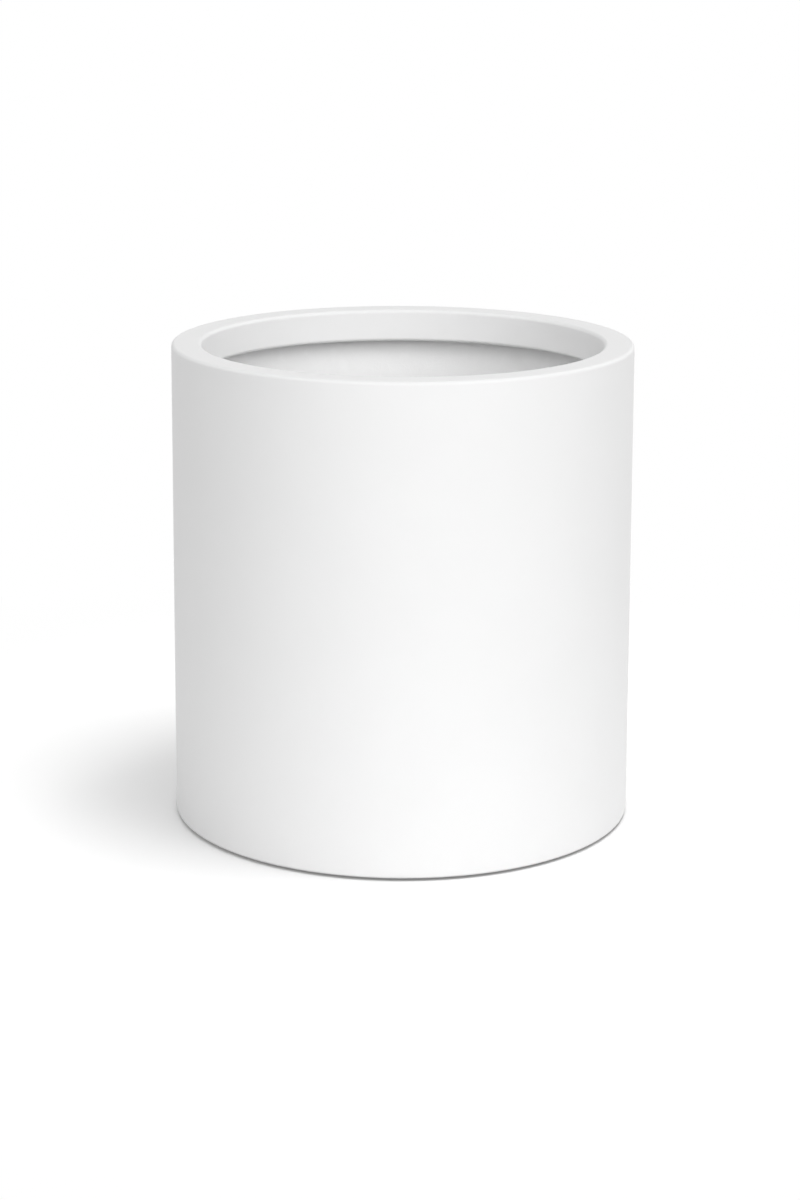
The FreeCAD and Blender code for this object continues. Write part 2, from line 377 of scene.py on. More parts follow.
class StudioSettings(bpy.types.PropertyGroup):
    """Camera, floor and light."""

    camera_distance: FloatProperty(
        name="Camera distance", description="Camera to the point that it looks at",
        default=2.7316, min=0.5, unit="LENGTH",
    )
    camera_tilt: FloatProperty(
        name="Camera tilt", description="How far the camera looks down",
        default=math.radians(10.73), subtype="ANGLE", unit="ROTATION",
    )
    camera_roll: FloatProperty(
        name="Camera roll", description="Turn of the frame about the line of sight",
        default=math.radians(0.2), subtype="ANGLE", unit="ROTATION",
    )
    aim_side: FloatProperty(
        name="Aim to the right", description="How far right of the axis the camera looks",
        default=-2.7 * MM, unit="LENGTH",
    )
    aim_height: FloatProperty(
        name="Aim height", description="Height of the point that the camera looks at",
        default=0.4198, unit="LENGTH",
    )
    focal_pixels: FloatProperty(
        name="Focal length in pixels", description="Focal length on the reference frame",
        default=2732, min=100,
    )
    shift_down: FloatProperty(
        name="Shift down", description="Pixels from the line of sight down to the frame's middle",
        default=200,
    )
    floor_radius: FloatProperty(
        name="Floor radius", description="Radius of the studio floor",
        default=1.3, min=0.5, unit="LENGTH",
    )
    shadow_radius: FloatProperty(
        name="Shadow radius", description="The floor shows shadows in full out to here",
        default=0.5, min=0.1, unit="LENGTH",
    )
    white_radius: FloatProperty(
        name="White radius", description="From here on out the floor is plain white",
        default=0.95, min=0.1, unit="LENGTH",
    )
    floor_color: FloatVectorProperty(
        name="Floor colour", description="What the floor throws back on the planter",
        default=(0.78, 0.78, 0.78, 1), size=4, min=0, max=1, subtype="COLOR",
    )
    floor_lift: FloatProperty(
        name="Floor lift", description="White added to the floor as the camera sees it",
        default=0.15, min=0, max=1, subtype="FACTOR",
    )
    ambient: FloatProperty(
        name="Ambient", description="Strength of the even studio light",
        default=0.3, min=0,
    )
    key_power: FloatProperty(
        name="Key lamp", description="Front right of the planter, in watts",
        default=180, min=0,
    )
    fill_power: FloatProperty(
        name="Fill lamp", description="Front left of the planter, in watts",
        default=130, min=0,
    )
    back_left_power: FloatProperty(
        name="Back left lamp", description="Behind the planter on the left, in watts",
        default=75, min=0,
    )
    back_right_power: FloatProperty(
        name="Back right lamp", description="Behind the planter on the right, in watts",
        default=100, min=0,
    )
    overhead_power: FloatProperty(
        name="Overhead lamp", description="Lights the floor from right above, in watts",
        default=34, min=0,
    )
    shadow_power: FloatProperty(
        name="Shadow lamp", description="High on the right, for the floor's soft shadow, in watts",
        default=36, min=0,
    )


# ---------------------------------------------------------------- mesh helpers


def fill_outline(bm, corners, segments):
    """Fills a closed outline and rounds its corners. Each corner is a place and a rounding."""
    placed = [(bm.verts.new(place), rounding) for place, rounding in corners]
    bm.faces.new([vertex for vertex, rounding in placed])
    for vertex, rounding in placed:
        if rounding:
            bmesh.ops.bevel(
                bm, geom=[vertex], offset=rounding, offset_type="OFFSET", segments=segments,
                profile=0.5, affect="VERTICES", material=-1,
            )


def draw_section(bm, corners, segments):
    """Draws a closed section in the XZ plane. Each corner is radius, height and rounding."""
    placed = [((radius, 0, height), rounding) for radius, height, rounding in corners]
    fill_outline(bm, placed, segments)
    bmesh.ops.delete(bm, geom=bm.faces[:], context="FACES_ONLY")


def divide_section(bm, spacing, chosen):
    """Cuts the section's long straight edges so that no part is longer than the spacing."""
    for edge in [edge for edge in bm.edges if chosen(edge)]:
        cuts = math.ceil(edge.calc_length() / spacing) - 1
        if cuts > 0:
            bmesh.ops.subdivide_edges(bm, edges=[edge], cuts=cuts)


def spin_section(bm, steps):
    """Turns the section round the planter's axis: spins one sector, then doubles it up to the full turn."""
    on_axis = [edge for edge in bm.edges if max(abs(vertex.co.x) for vertex in edge.verts) < WELD]
    bmesh.ops.delete(bm, geom=on_axis, context="EDGES")
    sectors = 2 ** DOUBLINGS
    sector = math.tau / sectors
    bmesh.ops.spin(
        bm, geom=bm.verts[:] + bm.edges[:], cent=(0, 0, 0), axis=AXIS, dvec=(0, 0, 0),
        angle=sector, space=Matrix(), steps=steps // sectors, use_merge=False,
        use_normal_flip=False, use_duplicate=False,
    )
    for doubling in range(DOUBLINGS):
        made = bmesh.ops.duplicate(bm, geom=bm.verts[:] + bm.edges[:] + bm.faces[:])
        bmesh.ops.rotate(
            bm, verts=[part for part in made["geom"] if isinstance(part, bmesh.types.BMVert)],
            cent=(0, 0, 0), matrix=Matrix.Rotation(sector * 2 ** doubling, 3, AXIS),
        )
    bmesh.ops.remove_doubles(bm, verts=bm.verts[:], dist=WELD)
    bmesh.ops.recalc_face_normals(bm, faces=bm.faces[:])


def radius_of(place):
    return math.hypot(place.x, place.y)


def arc_between(turn, other, radius):
    """Length of the shorter arc between two turns round the planter."""
    return abs((turn - other + math.pi) % math.tau - math.pi) * radius


def ease(share):
    """Smooth step from 0 to 1."""
    share = max(0.0, min(1.0, share))
    return share * share * (3 - 2 * share)


def lumps(place, grain, seed):
    """Seeded soft noise between about -1 and 1, with lumps of the given size."""
    shift = Vector([seed * step for step in SEED_STEPS])
    dimension, lacunarity, octaves = 1.0, 2.0, 3
    return noise.fractal(place / grain + shift, dimension, lacunarity, octaves)


def add_object(name, data):
    """Puts a mesh, a lamp or a camera into the scene."""
    made = bpy.data.objects.new(name, data)
    bpy.context.scene.collection.objects.link(made)
    return made


def add_mesh(bm, name, materials):
    """Puts the shape that was built into the scene."""
    mesh = bpy.data.meshes.new(name)
    bm.to_mesh(mesh)
    bm.free()
    for material in materials:
        mesh.materials.append(material)
    return add_object(name, mesh)


def finish_piece(bm, name, materials, body, nodes):
    """Makes the shape a piece of the planter that stands for the CAD nodes."""
    for face in bm.faces:
        face.smooth = True
    for edge in bm.edges:
        edge.smooth = edge.calc_face_angle(0) < CREASE
    piece = add_mesh(bm, name, materials)
    shading = piece.modifiers.new("even_shading", "WEIGHTED_NORMAL")
    shading.keep_sharp = True
    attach(piece, body)
    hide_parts(*nodes)
    return piece


# ---------------------------------------------------------------- material helpers


def new_material(name):
    """A material with its principled shader, ready for a pattern."""
    material = bpy.data.materials.new(name)
    material.use_nodes = True
    shader = next(node for node in material.node_tree.nodes if node.type == "BSDF_PRINCIPLED")
    return material, material.node_tree, shader


def add_node(tree, kind, inputs=None, **settings):
    """Adds a node. Inputs are values, or sockets to link from, by name or number."""
    node = tree.nodes.new(kind)
    for setting, content in settings.items():
        setattr(node, setting, content)
    for socket, content in (inputs or {}).items():
        if isinstance(content, bpy.types.NodeSocket):
            tree.links.new(content, node.inputs[socket])
        else:
            node.inputs[socket].default_value = content
    return node


def object_place(tree):
    return add_node(tree, "ShaderNodeTexCoord").outputs["Object"]


def spread(tree, place, scale, detail=2.0, roughness=0.5):
    """Noise from 0 to 1. The scale is in features per metre, or per unit of stretched coordinates."""
    made = add_node(
        tree, "ShaderNodeTexNoise",
        {"Vector": place, "Scale": scale, "Detail": detail, "Roughness": roughness},
    )
    return made.outputs["Fac"]


def span(tree, level, low, high, to_low=0.0, to_high=1.0):
    """Maps the stretch low to high of a level onto to_low to to_high, smoothly."""
    made = add_node(
        tree, "ShaderNodeMapRange",
        {"Value": level, "From Min": low, "From Max": high, "To Min": to_low, "To Max": to_high},
        interpolation_type="SMOOTHSTEP",
    )
    return made.outputs["Result"]


def math_of(tree, operation, first, second):
    made = add_node(tree, "ShaderNodeMath", {0: first, 1: second}, operation=operation)
    return made.outputs["Value"]


def blend_colors(tree, factor, first, second):
    inputs = {"Factor": factor, MIX_FIRST_COLOR: first, MIX_SECOND_COLOR: second}
    return add_node(tree, "ShaderNodeMix", inputs, data_type="RGBA").outputs[MIX_COLOR]


def raise_surface(tree, shader, layers):
    """Bump layers on top of each other. Each is a level, a height in metres and a strength."""
    below = None
    for level, height, strength in layers:
        inputs = {"Height": level, "Distance": height, "Strength": strength}
        if below is not None:
            inputs["Normal"] = below
        below = add_node(tree, "ShaderNodeBump", inputs).outputs["Normal"]
    tree.links.new(below, shader.inputs["Normal"])


def shade(color, factor):
    """The colour, darker or lighter by a factor."""
    return [min(1.0, channel * factor) for channel in color[:3]] + [1.0]


def seen_directly(tree):
    """1 for what the camera sees, also in reflections, and 0 for the light thrown on other things."""
    rays = add_node(tree, "ShaderNodeLightPath").outputs
    seen = math_of(tree, "MAXIMUM", rays["Is Camera Ray"], rays["Is Glossy Ray"])
    return math_of(tree, "MAXIMUM", seen, rays["Is Transmission Ray"])


def unrolled(tree, place, radius):
    """Coordinates that follow a round wall: along it and up it."""
    parts = add_node(tree, "ShaderNodeSeparateXYZ", {"Vector": place})
    turn = math_of(tree, "ARCTAN2", parts.outputs["Y"], parts.outputs["X"])
    along = math_of(tree, "MULTIPLY", turn, radius)
    made = add_node(tree, "ShaderNodeCombineXYZ", {"X": along, "Y": parts.outputs["Z"]})
    return made.outputs["Vector"]


def strands(tree, place):
    """Criss-crossed glass strands, 0 between them and 1 on top of them."""
    total = None
    for layer, turn in enumerate(STRAND_TURNS):
        turned = add_node(
            tree, "ShaderNodeMapping",
            {
                "Vector": place,
                "Location": [step * layer for step in STRAND_STEP],
                "Rotation": (0, 0, math.radians(turn)),
            },
        )
        stretched = add_node(
            tree, "ShaderNodeMapping",
            {"Vector": turned.outputs["Vector"], "Scale": (STRAND_ALONG, STRAND_ACROSS, 1)},
        )
        level = spread(tree, stretched.outputs["Vector"], scale=1.0, detail=1.0)
        strand = span(tree, level, 0.56, 0.72)
        total = strand if total is None else math_of(tree, "MAXIMUM", total, strand)
    return total


# ---------------------------------------------------------------- finishes


def gelcoat(finishes):
    """Satin white gelcoat: faint orange peel, moulded waviness and a little rubbed dust."""
    material, tree, shader = new_material("white_gelcoat_satin")
    place = object_place(tree)
    peel = spread(tree, place, scale=420.0, detail=1.5)
    swell = spread(tree, place, scale=14.0, detail=2.0)
    cloud = spread(tree, place, scale=9.0, detail=5.0, roughness=0.6)
    speck = span(tree, spread(tree, place, scale=950.0, detail=0.0), 0.74, 0.80)
    color = finishes.gelcoat_color
    tone = blend_colors(tree, span(tree, cloud, 0.3, 0.7), shade(color, 0.992), shade(color, 1.004))
    tone = blend_colors(tree, math_of(tree, "MULTIPLY", speck, 0.10), tone, shade(color, 0.86))
    tree.links.new(tone, shader.inputs["Base Color"])
    base = finishes.gelcoat_roughness
    tree.links.new(span(tree, cloud, 0.25, 0.75, base - 0.03, base + 0.04), shader.inputs["Roughness"])
    shader.inputs["IOR"].default_value = RESIN_IOR
    shader.inputs["Specular IOR Level"].default_value = finishes.gelcoat_gloss
    raise_surface(tree, shader, [(swell, 0.25 * MM, 0.25), (peel, 0.02 * MM, 0.35)])
    return material


def flowcoat(finishes, name, place_of, fade_heights=None):
    """White flowcoat brushed over chopped strand mat, whose strands show through; set lighter as painted
    light.

    Between the two fade heights the strands sink into a thicker coat.
    """
    material, tree, shader = new_material(name)
    place = object_place(tree)
    flat = place_of(tree, place)
    strand = strands(tree, flat)
    puddle = spread(tree, place, scale=38.0, detail=3.0)
    grain = spread(tree, place, scale=700.0, detail=2.0)
    covered = span(tree, puddle, 0.42, 0.66, 1.0, 0.35)
    relief = math_of(tree, "MULTIPLY", strand, covered)
    if fade_heights:
        height = add_node(tree, "ShaderNodeSeparateXYZ", {"Vector": place}).outputs["Z"]
        fade = span(tree, height, *fade_heights, to_low=1.0, to_high=0.12)
        relief = math_of(tree, "MULTIPLY", relief, fade)
    # Painted light: this colour is set lighter than the coat's own white, to brighten the inside of the
    # planter.
    color = finishes.flowcoat_color_with_painted_light
    # Partly the mat's pattern, partly painted highlight and shade: the tone follows the relief, lighter on
    # the strands and darker between them.
    tone = blend_colors(tree, relief, shade(color, 0.94), shade(color, 1.03))
    tone = blend_colors(tree, span(tree, puddle, 0.55, 0.75, 0.0, 0.5), tone, shade(color, 1.01))
    tree.links.new(tone, shader.inputs["Base Color"])
    base = finishes.flowcoat_roughness
    tree.links.new(span(tree, puddle, 0.3, 0.7, base + 0.08, base - 0.12), shader.inputs["Roughness"])
    shader.inputs["IOR"].default_value = RESIN_IOR
    raise_surface(tree, shader, [
        (puddle, 0.5 * MM, 0.4), (relief, 0.5 * MM, 0.9), (grain, 0.03 * MM, 0.4),
    ])
    return material


def trimmed_laminate(finishes):
    """Cut and sanded laminate: pale resin with darker strand ends and sanding marks."""
    material, tree, shader = new_material("trimmed_laminate")
    place = object_place(tree)
    ends = spread(tree, place, scale=900.0, detail=2.0)
    sanding = spread(tree, place, scale=2200.0, detail=1.0)
    color = finishes.trim_color
    tone = blend_colors(tree, span(tree, ends, 0.45, 0.65), shade(color, 0.82), shade(color, 1.08))
    tree.links.new(tone, shader.inputs["Base Color"])
    tree.links.new(span(tree, ends, 0.3, 0.7, 0.72, 0.86), shader.inputs["Roughness"])
    shader.inputs["IOR"].default_value = RESIN_IOR
    raise_surface(tree, shader, [(ends, 0.08 * MM, 0.6), (sanding, 0.03 * MM, 0.5)])
    return material


def rubber(finishes):
    """Moulded black rubber: fine mould grain and a little pale dust. All rubber pieces share it."""
    name = "black_rubber_matte"
    if name in bpy.data.materials:
        return bpy.data.materials[name]
    material, tree, shader = new_material(name)
    place = object_place(tree)
    grain = spread(tree, place, scale=1500.0, detail=3.0, roughness=0.6)
    dust = span(tree, spread(tree, place, scale=160.0, detail=6.0, roughness=0.65), 0.50, 0.72)
    color = finishes.rubber_color
    tone = blend_colors(tree, math_of(tree, "MULTIPLY", dust, 0.3), shade(color, 1.0), shade(color, 2.2))
    tree.links.new(tone, shader.inputs["Base Color"])
    base = finishes.rubber_roughness
    tree.links.new(span(tree, dust, 0.0, 1.0, base, base + 0.16), shader.inputs["Roughness"])
    shader.inputs["IOR"].default_value = RUBBER_IOR
    shader.inputs["Specular IOR Level"].default_value = finishes.rubber_gloss
    raise_surface(tree, shader, [(grain, 0.05 * MM, 0.5)])
    return material


def foam_tape(finishes):
    """Grey foam tape with open cells along its cut edge."""
    material, tree, shader = new_material("foam_tape")
    place = object_place(tree)
    cells = add_node(
        tree, "ShaderNodeTexVoronoi", {"Vector": place, "Scale": 2600.0}, feature="F1",
    ).outputs["Distance"]
    color = finishes.tape_color
    # Painted shade: each cell is darker in its middle, where the bump sinks it into a hollow.
    tone = blend_colors(tree, span(tree, cells, 0.1, 0.6), shade(color, 0.6), shade(color, 1.15))
    tree.links.new(tone, shader.inputs["Base Color"])
    shader.inputs["Roughness"].default_value = 0.9
    raise_surface(tree, shader, [(cells, 0.1 * MM, 0.6)])
    return material


def studio_floor(studio):
    """Pale floor that shows the planter's shadow and fades to white away from it."""
    material = bpy.data.materials.new("studio_floor")
    material.use_nodes = True
    tree = material.node_tree
    tree.nodes.clear()
    distance = add_node(
        tree, "ShaderNodeVectorMath", {0: object_place(tree)}, operation="LENGTH",
    ).outputs["Value"]
    far = span(tree, distance, studio.shadow_radius, studio.white_radius)
    shadowed = add_node(tree, "ShaderNodeBsdfDiffuse", {"Color": WHITE})
    lift = add_node(tree, "ShaderNodeEmission", {"Color": WHITE, "Strength": studio.floor_lift})
    near = add_node(tree, "ShaderNodeAddShader", {0: shadowed.outputs[0], 1: lift.outputs[0]})
    white = add_node(tree, "ShaderNodeEmission", {"Color": WHITE, "Strength": 1.0})
    shown = add_node(
        tree, "ShaderNodeMixShader", {"Fac": far, 1: near.outputs[0], 2: white.outputs[0]},
    )
    bounce = add_node(tree, "ShaderNodeBsdfDiffuse", {"Color": studio.floor_color})
    both = add_node(
        tree, "ShaderNodeMixShader",
        {"Fac": seen_directly(tree), 1: bounce.outputs[0], 2: shown.outputs[0]},
    )
    add_node(tree, "ShaderNodeOutputMaterial", {"Surface": both.outputs[0]})
    return material


# ---------------------------------------------------------------- pieces


class PLANTER_OT_shell(bpy.types.Operator):
    """Makes the moulded skin: wall, rim and return lip, smooth outside and hand-laid inside"""

    bl_idname = "planter.make_shell"
    bl_label = "Shell"

    def execute(self, context):
        sizes = context.scene.planter_shell
        finishes = context.scene.planter_finishes
        outer = sizes.outer_radius
        wall = outer - sizes.laminate
        mouth = outer - sizes.rim_width
        lip_back = mouth + sizes.laminate
        foot = sizes.foot_height
        top = sizes.overall_height
        underside = top - sizes.laminate
        lip_bottom = top - sizes.lip_depth
        strands_show_to = lip_bottom - 170 * MM
        strands_gone_from = lip_bottom - 70 * MM
        ring_spacing = 3 * MM
        bm = bmesh.new()
        draw_section(bm, [
            (wall, foot, sizes.trimmed_edge),
            (outer, foot, sizes.foot_edge),
            (outer, top, sizes.rim_edge),
            (mouth, top, sizes.mouth_edge),
            (mouth, lip_bottom, sizes.lip_edge),
            (lip_back, lip_bottom, sizes.trimmed_edge),
            (lip_back, underside, sizes.hollow_corner),
            (wall, underside, sizes.hollow_corner),
        ], segments=8)
        divide_section(bm, ring_spacing, lambda edge: all(
            abs(vertex.co.x - wall) < WELD for vertex in edge.verts
        ))
        spin_section(bm, sizes.steps)
        self.lay_mat(bm, sizes, wall, foot, underside)
        for face in bm.faces:
            face.material_index = self.finish_of(face, wall, lip_back, foot, underside, lip_bottom)
        materials = [
            gelcoat(finishes),
            flowcoat(
                finishes, "white_flowcoat_wall",
                lambda tree, place: unrolled(tree, place, wall),
                fade_heights=(strands_show_to, strands_gone_from),
            ),
            trimmed_laminate(finishes),
        ]
        finish_piece(bm, "planter_shell", materials, "planter", ["shell"])
        return {"FINISHED"}

    @staticmethod
    def lay_mat(bm, sizes, wall, foot, underside):
        """Swells the inside of the wall as hand-laid mat does, with bands where lengths overlap."""
        lowest = foot + 2 * MM
        highest = underside - 8 * MM
        fade_in, fade_out = 15 * MM, 25 * MM
        overlap_slope = 5 * MM
        half_band = sizes.overlap_width / 2
        for vertex in bm.verts:
            if abs(radius_of(vertex.co) - wall) > WELD:
                continue
            turn = math.atan2(vertex.co.y, vertex.co.x)
            fade = ease((vertex.co.z - lowest) / fade_in) * ease((highest - vertex.co.z) / fade_out)
            swell = 0.5 + 0.5 * lumps(vertex.co, grain=26 * MM, seed=3)
            swell += 0.25 * lumps(vertex.co, grain=9 * MM, seed=8)
            inward = sizes.relief * swell
            ragged = 4 * MM * lumps(Vector((0, 0, vertex.co.z)), grain=22 * MM, seed=5)
            for overlap in MAT_OVERLAPS:
                apart = arc_between(turn, math.radians(overlap), wall)
                inward += sizes.overlap_step * ease((half_band + ragged - apart) / overlap_slope)
            reach = (wall - max(0.0, inward) * fade) / wall
            vertex.co.x *= reach
            vertex.co.y *= reach

    @staticmethod
    def finish_of(face, wall, lip_back, foot, underside, lip_bottom):
        """The face's finish: gelcoat, flowcoat on the inside, or the trimmed foot."""
        centre = face.calc_center_median()
        radius = radius_of(centre)
        slack = 0.5 * MM
        inside_wall = radius < wall + slack
        if centre.z < foot + 0.05 * MM:
            return TRIM
        if inside_wall and centre.z < foot + 10 * MM:
            return FLOWCOAT
        in_hollow = inside_wall and radius > lip_back - slack and centre.z < underside + 0.01 * MM
        past_lip_edge = centre.z > lip_bottom + 0.4 * MM or radius > lip_back + slack
        return FLOWCOAT if in_hollow and past_lip_edge else GELCOAT


class PLANTER_OT_floor(bpy.types.Operator):
    """Makes the floor disc with its drain hole, and the hand-laid strip that ties it to the wall"""

    bl_idname = "planter.make_floor"
    bl_label = "Floor and bond"

    def execute(self, context):
        sizes = context.scene.planter_floor
        finishes = context.scene.planter_finishes
        steps = context.scene.planter_shell.steps
        # The floor disc and the bond share the flowcoat that is set lighter as painted light.
        flat = flowcoat(finishes, "white_flowcoat_floor", lambda tree, place: place)
        self.make_panel(sizes, steps, flat)
        self.make_bond(sizes, steps, flat)
        return {"FINISHED"}

    @staticmethod
    def make_panel(sizes, steps, material):
        bm = bmesh.new()
        draw_section(bm, [
            (sizes.drain_radius, sizes.panel_bottom, sizes.hole_edge),
            (sizes.panel_radius, sizes.panel_bottom, sizes.hole_edge),
            (sizes.panel_radius, sizes.panel_top, sizes.hole_edge),
            (sizes.drain_radius, sizes.panel_top, sizes.hole_edge),
        ], segments=4)
        ring_spacing, longest_edge = 4 * MM, 20 * MM
        divide_section(bm, ring_spacing, lambda edge: edge.calc_length() > longest_edge)
        spin_section(bm, steps)
        edge_width = 3 * MM
        fade_in, fade_out = 20 * MM, 10 * MM
        for vertex in bm.verts:
            on_top = abs(vertex.co.z - sizes.panel_top) < WELD
            on_underside = abs(vertex.co.z - sizes.panel_bottom) < WELD
            if not (on_top or on_underside):
                continue
            radius = radius_of(vertex.co)
            fade = ease((radius - sizes.seat_radius) / fade_in)
            fade *= ease((sizes.panel_radius - edge_width - radius) / fade_out)
            sink = sizes.relief * fade * (0.5 + 0.5 * lumps(vertex.co, grain=30 * MM, seed=11))
            vertex.co.z += -sink if on_top else sink
        finish_piece(bm, "planter_floor", [material], "planter", ["base_panel"])

    @staticmethod
    def make_bond(sizes, steps, material):
        outer = sizes.bond_outer
        face = outer - sizes.bond_thickness
        floor_face = sizes.panel_top + sizes.bond_thickness
        inner_edge = outer - sizes.bond_leg
        thin_edge = 0.2 * MM
        bm = bmesh.new()
        draw_section(bm, [
            (outer, sizes.panel_bottom, 0),
            (outer, sizes.bond_top, thin_edge),
            (face, sizes.bond_top, sizes.bond_feather),
            (face, floor_face, sizes.bond_cove),
            (inner_edge, floor_face, sizes.bond_feather),
            (inner_edge, sizes.panel_top, thin_edge),
            (sizes.panel_radius, sizes.panel_top, 0),
            (sizes.panel_radius, sizes.panel_bottom, 0),
        ], segments=8)
        ring_spacing, longest_edge = 3 * MM, 10 * MM
        divide_section(bm, ring_spacing, lambda edge: edge.calc_length() > longest_edge)
        spin_section(bm, steps)
        wall_leg = sizes.bond_top - floor_face
        floor_leg = face - inner_edge
        first_seam = 0.35  # of a strip's length on from the X axis
        seams = [
            math.tau * (number + first_seam) / sizes.bond_lengths
            for number in range(sizes.bond_lengths)
        ]
        seam_width, seam_step, seam_slope = 36 * MM, 0.5 * MM, 4 * MM
        for vertex in bm.verts:
            place = vertex.co.copy()
            radius = radius_of(place)
            turn = math.atan2(place.y, place.x)
            ring = Vector((math.cos(turn), math.sin(turn), 0))
            up_share = ease((place.z - floor_face - sizes.bond_cove) / (wall_leg - sizes.bond_cove))
            in_share = ease((face - sizes.bond_cove - radius) / (floor_leg - sizes.bond_cove))
            wander_up = 0.5 + 0.5 * lumps(ring * outer, grain=30 * MM, seed=17)
            wander_in = 0.5 + 0.5 * lumps(ring * outer, grain=34 * MM, seed=23)
            rise = -sizes.bond_wander * up_share * wander_up
            draw_in = sizes.bond_wander * in_share * wander_in
            swell = sizes.relief * (0.5 * lumps(place, grain=18 * MM, seed=29) - 0.5)
            half_seam = seam_width / 2 + 3 * MM * lumps(place, grain=15 * MM, seed=31)
            # Outside each seam the strip lies one step lower.
            for seam in seams:
                apart = arc_between(turn, seam, outer)
                swell -= seam_step * (1 - ease((half_seam - apart) / seam_slope))
            on_wall = radius < face + 0.6 * MM and place.z > sizes.panel_top + 0.5 * MM
            on_floor = place.z > floor_face - 0.6 * MM and radius < face
            if on_wall and up_share > 0:
                radius -= swell
            elif on_floor and in_share > 0:
                rise += swell
            radius += draw_in
            vertex.co = ring * radius + Vector((0, 0, place.z + rise))
        finish_piece(bm, "planter_bond", [material], "planter", ["base_bond"])


class PLANTER_OT_stopper(bpy.types.Operator):
    """Makes the rubber drain stopper with its sealing rings and ribbed grip"""

    bl_idname = "planter.make_stopper"
    bl_label = "Drain stopper"

    def execute(self, context):
        sizes = context.scene.planter_stopper
        seat = context.scene.planter_floor.panel_top
        bm = bmesh.new()
        self.turn_body(bm, sizes, seat)
        self.add_grip(bm, sizes, seat)
        material = rubber(context.scene.planter_finishes)
        finish_piece(bm, "drain_stopper", [material], "plug", ["drain_plug"])
        return {"FINISHED"}

    @staticmethod
    def turn_body(bm, sizes, seat):
        """The stem with its sealing rings and the flange."""
        flange_top = seat + sizes.flange_thickness
        lead_in, last_gap = 0.4 * MM, 0.2 * MM
        ring_room = (seat - sizes.bottom - lead_in - last_gap) / sizes.seal_count
        crest, valley = 0.55 * ring_room, 0.8 * ring_room
        taper = 0.35 * MM  # from each ring to the next
        soft_edge = 0.3 * MM
        corners = [(0, sizes.bottom, 0), (sizes.stem_radius - 1.2 * MM, sizes.bottom, 0.5 * MM)]
        for ring in range(sizes.seal_count):
            start = sizes.bottom + lead_in + ring * ring_room
            shrink = taper * (sizes.seal_count - 1 - ring)
            corners += [
                (sizes.stem_radius - shrink, start, 0.2 * MM),
                (sizes.seal_radius - shrink, start + crest, 0.25 * MM),
                (sizes.stem_radius - shrink, start + valley, 0.2 * MM),
            ]
        groove_outer = sizes.flange_radius - 3.2 * MM
        groove_inner = sizes.flange_radius - 5.6 * MM
        groove_depth = 0.6 * MM
        corners += [
            (sizes.stem_radius, seat, soft_edge),
            (sizes.flange_radius, seat, 0.4 * MM),
            (sizes.flange_radius, flange_top, sizes.flange_edge),
            (groove_outer, flange_top, soft_edge),
            (groove_outer - groove_depth, flange_top - groove_depth, soft_edge),
            (groove_inner + groove_depth, flange_top - groove_depth, soft_edge),
            (groove_inner, flange_top, soft_edge),
            (0, flange_top, 0),
        ]
        draw_section(bm, corners, segments=4)
        spin_section(bm, sizes.steps)

    @classmethod
    def add_grip(cls, bm, sizes, seat):
        """The T-shaped bar: its end section, drawn out along X, with finger ribs."""
        flange_top = seat + sizes.flange_thickness
        root = flange_top - 0.8 * MM
        bead_bottom = sizes.top - sizes.bead_height
        half_web = sizes.grip_web / 2
        half_bead = sizes.bead_width / 2
        half_length = sizes.grip_length / 2
        flare = 1.2 * MM
        right_side = [
            (half_web + flare, root, 0),
            (half_web + flare, flange_top + 0.1 * MM, 0.1 * MM),
            (half_web, flange_top + flare + 0.3 * MM, 0.8 * MM),
            (half_web, bead_bottom - 0.2 * MM, 0.9 * MM),
            (half_bead, bead_bottom + 0.5 * MM, 1.1 * MM),
            (half_bead, sizes.top, 1.8 * MM),
        ]
        left_side = [(-across, up, rounding) for across, up, rounding in reversed(right_side)]
        outline = [
            ((-half_length, across, up), rounding) for across, up, rounding in right_side + left_side
        ]
        grip = bmesh.new()
        fill_outline(grip, outline, segments=4)
        drawn = bmesh.ops.extrude_face_region(grip, geom=grip.faces[:])
        moved = [part for part in drawn["geom"] if isinstance(part, bmesh.types.BMVert)]
        bmesh.ops.translate(grip, verts=moved, vec=(sizes.grip_length, 0, 0))
        bmesh.ops.recalc_face_normals(grip, faces=grip.faces[:])
        end_edges = [
            edge for edge in grip.edges
            if abs(edge.verts[0].co.x - edge.verts[1].co.x) < WELD
            and min(vertex.co.z for vertex in edge.verts) > root + WELD
        ]
        bmesh.ops.bevel(
            grip, geom=end_edges, offset=0.9 * MM, offset_type="OFFSET", segments=3,
            profile=0.5, affect="EDGES", clamp_overlap=True, material=-1,
        )
        cls.add_ribs(grip, sizes, flange_top + 2.0 * MM, bead_bottom - 0.9 * MM)
        mesh = bpy.data.meshes.new("grip")
        grip.to_mesh(mesh)
        grip.free()
        bm.from_mesh(mesh)
        bpy.data.meshes.remove(mesh)

    @staticmethod
    def add_ribs(grip, sizes, low, high):
        """Rounded finger ribs on both sides of the grip's upright, from the low to the high end."""
        width, thickness, rounding = 1.1 * MM, 1.6 * MM, 0.45 * MM
        end_margin = 2.5 * MM
        spacing = (sizes.grip_length - 2 * end_margin) / sizes.rib_count
        out = sizes.grip_web / 2 - 0.2 * MM
        for side in (-1, 1):
            for number in range(sizes.rib_count):
                along = (number - (sizes.rib_count - 1) / 2) * spacing
                rib = bmesh.ops.create_cube(grip, size=1)["verts"]
                bmesh.ops.scale(grip, verts=rib, vec=(width, thickness, high - low))
                bmesh.ops.translate(grip, verts=rib, vec=(along, side * out, (low + high) / 2))
                edges = list({edge for vertex in rib for edge in vertex.link_edges})
                bmesh.ops.bevel(
                    grip, geom=edges, offset=rounding, offset_type="OFFSET", segments=2,
                    profile=0.5, affect="EDGES", clamp_overlap=True, material=-1,
                )


